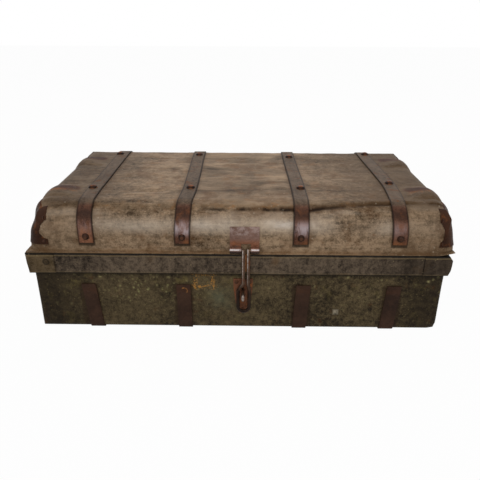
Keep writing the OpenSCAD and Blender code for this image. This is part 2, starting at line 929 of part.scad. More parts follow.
module hasp_wire() color(dark_colour) {
    r = hasp_wire_d / 2;
    elbow_z = pivot_z + rod_y - pivot_y;
    for (side = [-1, 1]) {
        x = rod_x + side * rod_gap / 2;
        pivot = [x, pivot_y, pivot_z];
        elbow = [x, rod_y, elbow_z];
        fork = [x, rod_y, fork_z];
        eye_top = [eye_x + side * eye_r, rod_y, eye_top_z];
        eye_low = [eye_x + side * eye_r, rod_y, eye_z];
        rod([hasp_x + side * hasp_w / 2, pivot_y, pivot_z], pivot, r);
        rod(pivot, elbow, r);
        rod(elbow, fork, r);
        rod(fork, eye_top, r);
        rod(eye_top, eye_low, r);
    }
    translate([eye_x, rod_y, eye_z])
        rotate([90, 0, 0])
            rotate([0, 0, 180])
                rotate_extrude(angle = 180)
                    translate([eye_r, 0])
                        circle(r);
}

base_sheet();
base_left_end();
base_right_end();
base_top_wire();
base_strap_1();
base_strap_2();
base_strap_3();
base_strap_4();
base_strap_rivets();
staple_plate();
staple();
staple_rivets();
left_hinge_lower_leaf();
right_hinge_lower_leaf();
hinge_pins();
hinge_lower_rivets();
left_handle_brackets();
right_handle_brackets();
handle_rivets();
lid_sheet();
lid_left_end();
lid_right_end();
rim_front();
rim_back();
rim_left();
rim_right();
rim_rivets();
lid_strap_1();
lid_strap_2();
lid_strap_3();
lid_strap_4();
lid_strap_rivets();
front_left_corner();
front_right_corner();
back_left_corner();
back_right_corner();
corner_rivets();
hasp_plate();
hasp_plate_rivets();
left_hinge_upper_leaf();
right_hinge_upper_leaf();
hinge_upper_rivets();
hasp_wire();
left_handle_bail();
right_handle_bail();
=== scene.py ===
"""Looks of an old steel travel trunk: dented painted sheet, rusted straps and a hand-forged hasp.

Metres, +Z up, the front towards -Y, in the CAD model's own frame.
"""
import json
import math

import bpy
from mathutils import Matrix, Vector, noise

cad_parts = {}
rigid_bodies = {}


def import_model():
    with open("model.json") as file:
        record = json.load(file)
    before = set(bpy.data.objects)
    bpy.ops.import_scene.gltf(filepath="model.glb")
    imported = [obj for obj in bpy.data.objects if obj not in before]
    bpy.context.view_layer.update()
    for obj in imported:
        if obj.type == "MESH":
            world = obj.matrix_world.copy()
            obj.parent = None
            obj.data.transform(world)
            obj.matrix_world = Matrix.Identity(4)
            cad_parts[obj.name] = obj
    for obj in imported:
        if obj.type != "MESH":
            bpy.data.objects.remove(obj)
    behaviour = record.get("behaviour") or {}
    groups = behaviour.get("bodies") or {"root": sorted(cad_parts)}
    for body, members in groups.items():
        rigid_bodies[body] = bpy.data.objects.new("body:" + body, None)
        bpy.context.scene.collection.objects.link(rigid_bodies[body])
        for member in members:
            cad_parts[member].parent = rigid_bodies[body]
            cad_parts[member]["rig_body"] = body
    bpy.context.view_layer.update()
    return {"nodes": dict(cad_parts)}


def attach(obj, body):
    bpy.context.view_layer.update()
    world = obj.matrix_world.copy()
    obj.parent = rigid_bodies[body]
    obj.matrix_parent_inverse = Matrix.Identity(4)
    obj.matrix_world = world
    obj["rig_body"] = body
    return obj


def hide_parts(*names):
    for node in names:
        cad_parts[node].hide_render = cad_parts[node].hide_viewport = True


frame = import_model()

# The lid's form, in metres
RIM_TOP = 0.160
LID_TOP = 0.244
LID_HALF_X = 0.3755
LID_HALF_Y = 0.2124
# How far right of the base's middle the lid sits
LID_SHIFT = 0.0035
# Radii of its long shoulders, of its turn down over the ends and of its upright corners
SHOULDER_R = 0.052
END_R = 0.030
CORNER_R = 0.020
# A small ease between these rounds, as in the CAD model
EASE = 0.00012
SHEET = 0.001
# The openings in the lid's end walls, behind which the end panels lie
WINDOW_Y = 0.1784
WINDOW_FOOT = RIM_TOP + 0.012
WINDOW_TOP = 0.200
# The outer edge of the lid's ledge, and the rectangle from whose edge it is drawn outwards
LEDGE_HALF_X = 0.3805
LEDGE_HALF_Y = 0.2175
LEDGE_ROOTS = ((-0.345, 0.352), (-0.192, 0.192))
# The pressed flutes: middles, half width and length
FLUTE_Y = (-0.116, 0.088)
FLUTE_HALF_WIDTH = 0.036
FLUTE_LENGTH = 0.070
# The crease along the front of the lid's top, and the ball to which its front corners are driven in
CREASE_Y = -0.1895
BALL_R = 0.052

# Middles of the straps and of the hasp
STRAP_X = (-0.277, -0.102, 0.110, 0.285)
BASE_STRAP_X = (-0.277, -0.102, 0.116, 0.283)
HASP_X = 0.0108
# The laps and rivets of the rim, and the strip of it that the hasp has rubbed
RIM_LAP_X = 0.331
RIM_RIVET_X, RIM_RIVET_Z = 0.346, 0.142
RUBBED_X = 0.0129
# The base straps' outer face, upper end and rivets
BASE_STRAP_FACE = 0.2130
BASE_STRAP_TOP = 0.094
BASE_RIVET_Z = 0.082
# Middles of what is left of a label, and of a chip in the base's paint
LABEL_X, LABEL_Z = -0.064, 0.103
CHIP_X, CHIP_Z = 0.182, 0.038
# How far left the lid's ledge and how far forward the bars may come without leaving the CAD model's box
LEFT_LIMIT = -0.3808
FRONT_LIMIT = -0.2348

# How much of the way to a ball's form the knocks have driven the left and right front corners
DRIVEN = (0.66, 0.36)
# Rivets above the first height are those on the lid's top, and above the second one is only their heads
TOP_RIVET_Z = 0.236
TOP_HEAD_Z = 0.2464
# How much wider these heads have been hammered, and how much of the base straps' heads is left standing
HEAD_GROWTH = 1.4
HEAD_LEFT = 0.45
# Dents in the lid's top and front: middle, half widths and depth
TOP_DENTS = ((-0.163, -0.118, 0.024, 0.007, 0.0022), (-0.115, -0.070, 0.012, 0.006, 0.0014))
FRONT_DENTS = ((-0.205, 0.194, 0.045, 0.014, 0.0020), (0.190, 0.198, 0.050, 0.012, 0.0016))
# How far right each lid strap has slipped, in metres, at distances along it from the lid's middle
# over the front shoulder to its foot
STRAP_SLIP = (
    ((-0.16, 0.0), (0.10, 0.001), (0.20, 0.0044), (0.28, 0.0075)),
    ((-0.16, 0.0036), (0.10, 0.0070), (0.20, 0.0040), (0.28, 0.0018)),
    ((-0.16, -0.001), (0.10, 0.0015), (0.28, -0.0008)),
    ((-0.16, 0.0008), (0.07, 0.0052), (0.20, -0.0034), (0.28, -0.0018)),
)
# Where the rivets on the lid's top sit along each strap, front and back
TOP_RIVET_Y = ((-0.106, 0.140), (-0.103, 0.138), (-0.103, 0.122), (-0.070, 0.148))
# How far right of its strap's middle each of them sits
TOP_RIVET_OFF = ((-0.004, -0.006), (0.0015, 0.001), (0.0045, 0.001), (0.002, 0.004))
# How far right each base strap sits at its top and at its foot
BASE_STRAP_LEAN = ((0.000, 0.0088), (0.000, 0.0015), (0.0035, -0.0017), (0.0026, -0.0040))


def smooth(low, high, value):
    """0 below low, 1 above high and a soft step between."""
    t = min(1.0, max(0.0, (value - low) / (high - low)))
    return t * t * (3 - 2 * t)


def calm(x, y):
    """0 behind the hasp, where everything keeps its place, and 1 away from it."""
    return smooth(0.034, 0.060, abs(x - HASP_X)) if y < 0 else 1.0


def drift(p, scale, seed):
    """Soft random value from -1 to 1 at a point."""
    return noise.noise(Vector((p[0] * scale + seed, p[1] * scale - seed, p[2] * scale + 2 * seed)))


def hill(distance, width):
    """1 at no distance, falling softly to nothing within a few widths."""
    return math.exp(-(distance / width) ** 2)


def dents(places, u, v):
    """How deep the dents of a table are at a point."""
    return sum(depth * hill(u - at_u, wide) * hill(v - at_v, high)
               for at_u, at_v, wide, high, depth in places)


def nearest(places, x):
    """Which of the places lies nearest."""
    return min(range(len(places)), key=lambda k: abs(x - places[k]))


def along(stops, at):
    """Value at a place, eased between the stops on either side."""
    value = stops[0][1]
    for (low, before), (high, after) in zip(stops, stops[1:]):
        value += (after - before) * smooth(low, high, at)
    return value


# How knocks and use have moved the metal

def outside_lid(p):
    """How far a point lies outside the lid's form; below 0 inside."""
    x, y, z = abs(p.x - LID_SHIFT), abs(p.y), p.z
    out = max(x - LID_HALF_X, y - LID_HALF_Y, z - LID_TOP)
    for u, v, half_u, half_v, r in (
        (y, z, LID_HALF_Y, LID_TOP, SHOULDER_R),
        (x, z, LID_HALF_X, LID_TOP, END_R),
        (x, y, LID_HALF_X, LID_HALF_Y, CORNER_R),
    ):
        cu, cv = half_u - r + EASE, half_v - r + EASE
        if u > cu and v > cv:
            out = max(out, math.hypot(u - cu, v - cv) - r)
    return out


def ray_in_lid(core, ray, far, rounds):
    """How many times its length a ray from inside the lid goes before it leaves the lid's form."""
    near = 0.0
    for _ in range(rounds):
        middle = (near + far) / 2
        if outside_lid(core + ray * middle) > 0:
            far = middle
        else:
            near = middle
    return near


def driven_corner(p):
    """How far a front corner's knocks have driven a point in, towards the ball that is left."""
    side = math.copysign(1, p[0] - LID_SHIFT)
    out = Vector((side * (p[0] - LID_SHIFT) - LID_HALF_X + BALL_R, -p[1] - LID_HALF_Y + SHOULDER_R,
                  p[2] - LID_TOP + SHOULDER_R))
    if min(out) <= 0:
        return Vector((0, 0, 0))
    ray = out.normalized()
    core = Vector((LID_SHIFT + side * (LID_HALF_X - BALL_R), SHOULDER_R - LID_HALF_Y, LID_TOP - SHOULDER_R))
    ray = Vector((side * ray.x, -ray.y, ray.z))
    past = max(0.0, ray_in_lid(core, ray, far=0.13, rounds=14) - BALL_R)
    much = smooth(0.0, 0.022, out.y) * smooth(0.0, 0.026, out.z)
    return -ray * past * much * DRIVEN[side > 0]


def lid_wear(p):
    """Where a point of the lid has gone: waves, a slight sag, a spread foot, a torn ledge, driven corners."""
    x, y, z = p
    high = smooth(0.166, 0.190, z)
    top = smooth(0.222, 0.243, z)
    front = smooth(0.150, 0.205, -y) * (1 - 0.6 * top)
    back = smooth(0.150, 0.205, y) * (1 - 0.6 * top)
    end = smooth(0.345, 0.372, abs(x - LID_SHIFT))
    dz = top * (0.0007 * drift(p, 9, 3) + 0.0003 * drift(p, 26, 8))
    dz -= top * 0.0009 * (1 - ((x - LID_SHIFT) / LID_HALF_X) ** 2) * (1 - (y / LID_HALF_Y) ** 2)
    dy = calm(x, y) * high * (front - back) * (0.0009 * drift(p, 7, 21) + 0.0004 * drift(p, 19, 5))
    dx = -high * end * math.copysign(0.0005, x) * (1 + drift(p, 11, 13))
    foot = smooth(0.200, 0.164, z) * end
    if x < 0:
        dx = max(dx - 0.0045 * foot, min(0.0, LEFT_LIMIT - x))
    else:
        torn = smooth(0.350, 0.382, x) * smooth(0.185, 0.2165, -y) * smooth(0.166, 0.162, z)
        dx += (0.0058 - 0.0040 * torn) * foot * smooth(0.09, 0.19, -y)
        dz += 0.0050 * torn
    return Vector((x + dx, y + dy, z + dz)) + driven_corner(p)


def strap_slip(which, p):
    """How far right one of the lid's straps has slipped at a point along it."""
    return along(STRAP_SLIP[which], LID_TOP - p[2] - p[1])


def strap_wear(p):
    """The lid's straps, slipped and bent a little from straight, on the lid as it is."""
    which = nearest(STRAP_X, p[0])
    return lid_wear((p[0] + strap_slip(which, p), p[1], p[2]))


def strap_rivet_wear(p):
    """Rivets go with their straps; those on top sit off their straps' middles, under broad heads."""
    x, y, z = p
    if z > TOP_RIVET_Z:
        which, end = nearest(STRAP_X, x), int(y > 0)
        middle, place = STRAP_X[which], TOP_RIVET_Y[which][end]
        if z > TOP_HEAD_Z:
            x = middle + HEAD_GROWTH * (x - middle)
            y = place + HEAD_GROWTH * (y - place)
        slip = strap_slip(which, (middle, place, z))
        return lid_wear((x + slip + TOP_RIVET_OFF[which][end], y, z))
    return strap_wear(p)


def plate_wear(p):
    """The corner plates; the front ones reach less far along the front, the right one least."""
    x, y, z = p
    reach = LID_HALF_X - abs(x - LID_SHIFT)
    if y < 0 < x:
        x += 0.6 * max(0.0, reach - 0.017)
    elif y < 0:
        x -= (0.20 + 0.15 * smooth(0.195, 0.215, z)) * max(0.0, reach - 0.014)
    return lid_wear((x, y, z))


def torn_plate_wear(p):
    """The plates alone: their inner edges are eaten ragged by rust."""
    x, y, z = p
    reach = LID_HALF_X - abs(x - LID_SHIFT)
    return plate_wear((x + smooth(0.014, 0.026, reach) * 0.0042 * drift(p, 105, 11), y, z))


def crease_y(x):
    """The crease along the lid's front, further back towards its right end."""
    return CREASE_Y + 0.016 * smooth(0.10, 0.31, x) + 0.004 * smooth(-0.15, -0.30, x)


def sheet_wear(p):
    """The lid sheet's own knocks, on top of what moves the whole lid."""
    x, y, z = p
    q = lid_wear(p)
    free = 1.0
    for strap in STRAP_X:
        free *= smooth(0.016, 0.030, abs(x - strap))
    free *= 1 - smooth(0.325, 0.345, abs(x - LID_SHIFT))
    top = smooth(0.236, 0.243, z)
    wander = crease_y(x) + 0.0022 * drift((x, 0, 0), 14, 31) + 0.0012 * drift((x, 0, 0), 40, 7)
    behind = y - wander
    depth = (0.55 + 0.45 * drift((x, 0, 0), 9, 44)) * smooth(0.335, 0.300, abs(x))
    if z > 0.2:
        fold = 0.0014 * hill(behind - 0.009, 0.007) - 0.0021 * hill(behind, 0.0036)
        q.z += depth * fold
        if y < 0:
            q.y -= 0.6 * depth * fold
    knocks = 0.0006 * drift(p, 34, 2) + 0.0004 * drift(p, 62, 9)
    q.z += free * top * (knocks - 0.0004 - dents(TOP_DENTS, x, y))
    front = smooth(0.196, 0.208, -y) * smooth(0.172, 0.180, z) * (1 - top)
    q.y += free * front * (calm(x, y) * 1.2 * knocks + dents(FRONT_DENTS, x, z))
    return q


def rim_wear(p):
    """The rim's bands: slight waves, a crushed right front corner and a left one bent in at its foot."""
    x, y, z = p
    face = smooth(0.190, 0.214, abs(y))
    low = smooth(0.1585, 0.140, z)
    waves = 0.0002 + 0.0005 * drift(p, 6, 17) + 0.0003 * drift(p, 24, 4)
    out = face * (0.2 if y > 0 else calm(x, y)) * waves
    turned = 0.0014 * smooth(0.1555, 0.1590, z)
    sag = 0.0005 * low * face * drift((x, y, 0), 8, 12)
    q = Vector((x, y + math.copysign(out - turned * face, y), z - sag))
    if y < 0:
        crush = smooth(0.350, 0.381, x) * smooth(0.170, 0.212, -y)
        q.x -= crush * (0.0042 * smooth(0.134, 0.120, z) + 0.0050 * smooth(0.150, 0.160, z))
        q.z -= crush * 0.0032 * smooth(0.150, 0.160, z)
        q.y += crush * 0.0016
        bent = smooth(0.350, 0.381, -x) * smooth(0.190, 0.212, -y)
        q.x += bent * 0.0022 * smooth(0.145, 0.120, z)
    return q


def base_wear(p):
    """The base's sheet and straps: soft waves, and a worn right corner below."""
    x, y, z = p
    q = Vector(p)
    side = smooth(0.018, 0.045, z) * smooth(0.116, 0.098, z)
    if abs(y) > 0.15:
        waves = 0.0009 + 0.0010 * drift(p, 6, 27) + 0.0004 * drift(p, 20, 6)
        q.y -= math.copysign(1, y) * side * calm(x, y) * smooth(0.15, 0.20, abs(y)) * waves
    corner = smooth(0.345, 0.374, x) * smooth(0.018, 0.002, z)
    q.x -= 0.0030 * corner
    q.z += 0.0024 * corner * smooth(0.360, 0.374, x)
    return q


def base_strap_wear(p):
    """The base's straps, each leaning its own way."""
    top, foot = BASE_STRAP_LEAN[nearest(BASE_STRAP_X, p[0])]
    lean = foot + (top - foot) * min(1.0, max(0.0, p[2] / BASE_STRAP_TOP))
    return base_wear((p[0] + lean, p[1], p[2]))


def sunk_rivet_wear(p):
    """The base straps' rivets, hammered nearly flush."""
    x, y, z = p
    stands = abs(y) - BASE_STRAP_FACE
    if stands > 0:
        y = math.copysign(BASE_STRAP_FACE + HEAD_LEFT * stands, y)
    return base_strap_wear((x, y, z))


def forged(p):
    """Bars worked by hand: slightly uneven, but true where they turn in their barrels."""
    free = smooth(0.160, 0.150, p[2])
    if abs(p[0]) > 0.3:
        free *= smooth(0.054, 0.046, abs(p[1]))
    q = Vector(p) + free * 0.00025 * Vector((drift(p, 60, 1), drift(p, 70, 2), drift(p, 50, 3)))
    q.y = max(q.y, FRONT_LIMIT)
    return q


# Making pieces

# Distances that count as none, and within which doubled vertices are merged
TINY = 1e-6
MERGED = 2e-6
# Angles below which neighbouring faces are flat, and above which an edge gets its bevel
FLAT_ANGLE = math.radians(0.5)
BEVEL_ANGLE = math.radians(35)
# Distances between the rows cut into the lid's sheet along x, y and z
SHEET_ROWS = (0.0058, 0.0045, 0.0055)


def only(thing):
    """Selects one object alone, and makes it the one that operators work on."""
    bpy.ops.object.select_all(action="DESELECT")
    thing.select_set(True)
    bpy.context.view_layer.objects.active = thing


def harden(thing, kind, **settings):
    """Adds a modifier and applies it."""
    only(thing)
    step = thing.modifiers.new(kind.title(), kind)
    for key, value in settings.items():
        setattr(step, key, value)
    bpy.ops.object.modifier_apply(modifier=step.name)


def move_points(thing, shape):
    """Moves each vertex to where shape puts it."""
    for v in thing.data.vertices:
        v.co = shape(v.co)
    thing.data.update()


def rounded(thing, angle=40):
    """Smooth shading that keeps the edges sharper than an angle."""
    only(thing)
    bpy.ops.object.shade_smooth_by_angle(angle=math.radians(angle))


def cut_rows(thing, step, axes):
    """Cuts a mesh by planes a step apart across the axes, so that it can bend."""
    only(thing)
    lows = [min(v.co[i] for v in thing.data.vertices) for i in range(3)]
    highs = [max(v.co[i] for v in thing.data.vertices) for i in range(3)]
    bpy.ops.object.mode_set(mode="EDIT")
    for axis in axes:
        count = int((highs[axis] - lows[axis]) / step)
        normal = [0, 0, 0]
        normal[axis] = 1
        for k in range(1, count + 1):
            at = [0, 0, 0]
            at[axis] = lows[axis] + k * (highs[axis] - lows[axis]) / (count + 1)
            bpy.ops.mesh.select_all(action="SELECT")
            bpy.ops.mesh.bisect(plane_co=at, plane_no=normal, threshold=TINY)
    bpy.ops.object.mode_set(mode="OBJECT")


def worked(node, wear, bevel, step, axes):
    """A piece on a CAD node's own form: edges rounded, cut into rows and then moved by its wear."""
    source = frame["nodes"][node]
    piece = bpy.data.objects.new(node + "_worked", source.data.copy())
    bpy.context.scene.collection.objects.link(piece)
    piece.data.materials.clear()
    only(piece)
    bpy.ops.object.mode_set(mode="EDIT")
    bpy.ops.mesh.select_all(action="SELECT")
    bpy.ops.mesh.customdata_custom_splitnormals_clear()
    bpy.ops.mesh.remove_doubles(threshold=MERGED)
    bpy.ops.mesh.dissolve_limited(angle_limit=FLAT_ANGLE)
    bpy.ops.object.mode_set(mode="OBJECT")
    if bevel:
        harden(piece, "BEVEL", width=bevel, segments=2, limit_method="ANGLE",
               angle_limit=BEVEL_ANGLE, use_clamp_overlap=True)
    if step:
        cut_rows(piece, step, axes)
    if wear:
        move_points(piece, wear)
    rounded(piece)
    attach(piece, source["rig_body"])
    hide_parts(node)
    return piece


# The lid's sheet

def onto_lid(p):
    """Draws a point of the block in to the lid's rounded form."""
    x = p.x - LID_SHIFT
    core = Vector((
        LID_SHIFT + max(-LID_HALF_X + END_R, min(LID_HALF_X - END_R, x)),
        max(-LID_HALF_Y + SHOULDER_R, min(LID_HALF_Y - SHOULDER_R, p.y)),
        min(LID_TOP - SHOULDER_R, p.z),
    ))
    ray = p - core
    return core + ray * ray_in_lid(core, ray, far=1.6, rounds=26)


def fluted(p):
    """Raises the pressed flutes at both ends of the lid's top."""
    q = Vector(p)
    inward = LID_HALF_X - abs(p.x - LID_SHIFT)
    for place in FLUTE_Y:
        v = p.y - place
        across = 0.005 * (1 - (v / FLUTE_HALF_WIDTH) ** 2)
        lengthwise = 0.006 * (1 - (inward / FLUTE_LENGTH) ** 2)
        rise = max(0.0, min(across, lengthwise)) * smooth(0.216, 0.240, p.z)
        fold = 0.0
        for side in (-1, 1):
            fold += hill(v - side * (FLUTE_HALF_WIDTH - 0.001), 0.0026) * smooth(0.066, 0.030, inward)
        q.z += rise - 0.0013 * fold * smooth(0.224, 0.240, p.z)
        q.x += math.copysign(0.35 * rise * smooth(0.030, 0.0, inward), p.x)
    return q


def make_lid_sheet():
    """The lid's sheet, drawn from a block to its rounded form, pressed, folded and dented."""
    size = (2 * LID_HALF_X, 2 * LID_HALF_Y, LID_TOP - RIM_TOP - SHEET)
    bpy.ops.object.select_all(action="DESELECT")
    bpy.ops.mesh.primitive_cube_add(size=1, location=(LID_SHIFT, 0, LID_TOP - size[2] / 2), scale=size)
    sheet = bpy.context.object
    sheet.name = "lid_sheet_dented"
    bpy.ops.object.transform_apply(location=True, rotation=True, scale=True)
    delete_faces(sheet, lambda face: face.normal.z < -0.5)
    for axis, step in enumerate(SHEET_ROWS):
        cut_rows(sheet, step, (axis,))
    move_points(sheet, onto_lid)
    open_windows(sheet)
    move_points(sheet, fluted)
    turn_out_ledge(sheet)
    harden(sheet, "SOLIDIFY", thickness=SHEET, offset=-1)
    move_points(sheet, sheet_wear)
    rounded(sheet, 50)
    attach(sheet, "lid")
    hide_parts("lid_sheet")
    return sheet


def choose_faces(thing, test):
    """Selects the faces that pass a test, and nothing else."""
    only(thing)
    bpy.ops.object.mode_set(mode="EDIT")
    bpy.ops.mesh.select_mode(type="FACE")
    bpy.ops.mesh.select_all(action="DESELECT")
    bpy.ops.object.mode_set(mode="OBJECT")
    for face in thing.data.polygons:
        face.select = test(face)


def delete_faces(thing, test):
    """Deletes the faces that pass a test."""
    choose_faces(thing, test)
    bpy.ops.object.mode_set(mode="EDIT")
    bpy.ops.mesh.delete(type="FACE")
    bpy.ops.object.mode_set(mode="OBJECT")


def in_end_wall(face):
    """Whether a face lies in one of the lid's two flat ends."""
    return abs(face.normal.x) > 0.999


def open_windows(sheet):
    """Cuts the openings in the end walls that the end panels close."""
    for at, normal in (((0, WINDOW_Y, 0), (0, 1, 0)), ((0, -WINDOW_Y, 0), (0, 1, 0)),
                       ((0, 0, WINDOW_TOP), (0, 0, 1))):
        choose_faces(sheet, in_end_wall)
        bpy.ops.object.mode_set(mode="EDIT")
        bpy.ops.mesh.bisect(plane_co=at, plane_no=normal, threshold=TINY)
        bpy.ops.object.mode_set(mode="OBJECT")
    delete_faces(sheet, lambda face: in_end_wall(face) and abs(face.center.y) < WINDOW_Y
                 and WINDOW_FOOT < face.center.z < WINDOW_TOP)


def turn_out_ledge(sheet):
    """Turns the sheet's lower edge out flat over the rim's top."""
    only(sheet)
    foot = RIM_TOP + SHEET
    bpy.ops.object.mode_set(mode="EDIT")
    bpy.ops.mesh.select_mode(type="EDGE")
    bpy.ops.mesh.select_all(action="DESELECT")
    bpy.ops.object.mode_set(mode="OBJECT")
    for edge in sheet.data.edges:
        edge.select = all(sheet.data.vertices[i].co.z < foot + 1e-5 for i in edge.vertices)
    bpy.ops.object.mode_set(mode="EDIT")
    bpy.ops.mesh.extrude_region_move()
    bpy.ops.object.mode_set(mode="OBJECT")
    for v in sheet.data.vertices:
        if v.select:
            # Out along the line from the nearest point of the inner rectangle, as far as the ledge's edge
            x, y = v.co.x, v.co.y
            root_x, root_y = (max(low, min(high, at)) for at, (low, high) in zip((x, y), LEDGE_ROOTS))
            reach = []
            for at, root, edge in ((x, root_x, LEDGE_HALF_X), (y, root_y, LEDGE_HALF_Y)):
                if abs(at - root) > TINY:
                    reach.append((math.copysign(edge, at) - root) / (at - root))
            t = min(reach)
            v.co.x, v.co.y = root_x + t * (x - root_x), root_y + t * (y - root_y)


# Finishes

# Old dry paint and rust reflect less than the shader's usual 0.5
REFLECTION = 0.12


def paint(hex_code):
    """A colour written as on screen, as the linear values that the shaders take."""
    parts = [int(hex_code[i:i + 2], 16) / 255 for i in (0, 2, 4)]
    return [c / 12.92 if c <= 0.04045 else ((c + 0.055) / 1.055) ** 2.4 for c in parts] + [1.0]


class Value:
    """A shader value; an expression on values adds its Math nodes."""

    def __init__(self, nodes, socket):
        self.nodes, self.socket = nodes, socket

    def math(self, operation, *others):
        """A Math node on this value and others."""
        return self.nodes.node("Math", {"operation": operation}, dict(enumerate((self,) + others)))

    def __add__(self, other):
        return self.math("ADD", other)

    __radd__ = __add__

    def __mul__(self, other):
        return self.math("MULTIPLY", other)

    __rmul__ = __mul__

    def __sub__(self, other):
        return self.math("SUBTRACT", other)

    def __rsub__(self, other):
        return self * -1 + other

    def size(self):
        """The value without its sign."""
        return self.math("ABSOLUTE")

    def step(self, low, high):
        """0 below low, 1 above high, with a soft step between."""
        return self.nodes.node("MapRange", {"interpolation_type": "SMOOTHSTEP"},
                               {"Value": self, "From Min": low, "From Max": high})

    def bump(self, centre, width):
        """1 at the centre and 0 a width away."""
        return 1 - (self - centre).size().step(0.0, width)

    def swing(self, strength):
        """A noise from 0 to 1 made to swing about 0."""
        return (self - 0.5) * strength


class Nodes:
    """The nodes of one tree."""

    def __init__(self, tree):
        self.tree = tree
        self.tree.nodes.clear()

    def node(self, kind, settings=None, inputs=None, out=0):
        """Adds a node, with its settings first, and gives one of its outputs."""
        made = self.tree.nodes.new("ShaderNode" + kind)
        for key, value in (settings or {}).items():
            setattr(made, key, value)
        for key, value in (inputs or {}).items():
            if isinstance(value, Value):
                self.tree.links.new(value.socket, made.inputs[key])
            else:
                made.inputs[key].default_value = value
        return Value(self, made.outputs[out]) if made.outputs else None

    def parts(self, vector):
        """The three parts of a vector."""
        first = self.node("SeparateXYZ", {}, {0: vector})
        return [Value(self, socket) for socket in first.socket.node.outputs]


class Finish(Nodes):
    """One material: its colour, laid on coat by coat, and its wear, in the metres of the object."""

    def __init__(self, name):
        self.material = bpy.data.materials.new(name)
        self.material.use_nodes = True
        super().__init__(self.material.node_tree)
        self.place = self.node("TexCoord", out="Object")
        self.x, self.y, self.z = self.parts(self.place)
        self.colour = None

    def cloud(self, scale, detail, roughness, stretch=(1, 1, 1), move=(0, 0, 0), twist=0.0):
        """Soft noise from 0 to 1."""
        spot = self.node("Mapping", {}, {"Vector": self.place, "Location": move, "Scale": stretch})
        return self.node("TexNoise", {}, {"Vector": spot, "Scale": scale, "Detail": detail,
                                          "Roughness": roughness, "Distortion": twist})

    def specks(self, scale, size, move=(0, 0, 0), heart=0.0):
        """1 on scattered specks, which fade from their hearts out to their size."""
        spot = self.node("Mapping", {}, {"Vector": self.place, "Location": move})
        away = self.node("TexVoronoi", {}, {"Vector": spot, "Scale": scale, "Randomness": 1.0})
        return 1 - away.step(heart, size)

    def facing(self):
        """How much the surface faces along each of the object's own axes, from the mesh's attribute."""
        return self.parts(self.node("Attribute", {"attribute_name": "facing"}, out="Vector"))

    def outside(self, up):
        """1 on a sheet's outer face and 0 on its inner one; up is 1 for the lid and -1 for the base."""
        turned_x, turned_y, turned_z = self.facing()
        sides = (turned_x * self.x * 8).math("MAXIMUM", turned_y * self.y * 8)
        return sides.math("MAXIMUM", turned_z * up).step(0.0, 0.2)

    def blend(self, under, over, amount):
        """Over laid on under where amount is 1."""
        return self.node("Mix", {"data_type": "RGBA"}, {0: amount, 6: under, 7: over}, out=2)

    def ground(self, dark, light, tone):
        """The first coat, from dark where tone is 0 to light where it is 1."""
        self.colour = self.blend(paint(dark), paint(light), tone)

    def lay(self, hex_code, amount):
        """One more colour, laid on where amount is 1."""
        self.colour = self.blend(self.colour, paint(hex_code), amount)

    def surface(self, roughness, metallic, height, depth):
        """Closes the material, with its relief and the colour laid on so far."""
        relief = self.node("Bump", {}, {"Strength": 1.0, "Distance": depth, "Height": height})
        shader = self.node("BsdfPrincipled", {}, {
            "Base Color": self.colour, "Roughness": roughness, "Metallic": metallic,
            "Normal": relief, "Specular IOR Level": REFLECTION,
        })
        self.node("OutputMaterial", {}, {"Surface": shader})
        return self.material


def strap_distance(f, places):
    """Distance across from the nearest strap's middle."""
    least = (f.x - places[0]).size()
    for place in places[1:]:
        least = least.math("MINIMUM", (f.x - place).size())
    return least


def slipped_middles(f):
    """Where the middles of the lid's straps are at a point, each with its slip."""
    run = LID_TOP - f.z - f.y
    middles = []
    for place, stops in zip(STRAP_X, STRAP_SLIP):
        middle = place + stops[0][1]
        for (low, before), (high, after) in zip(stops, stops[1:]):
            middle = run.step(low, high) * (after - before) + middle
        middles.append(middle)
    return middles


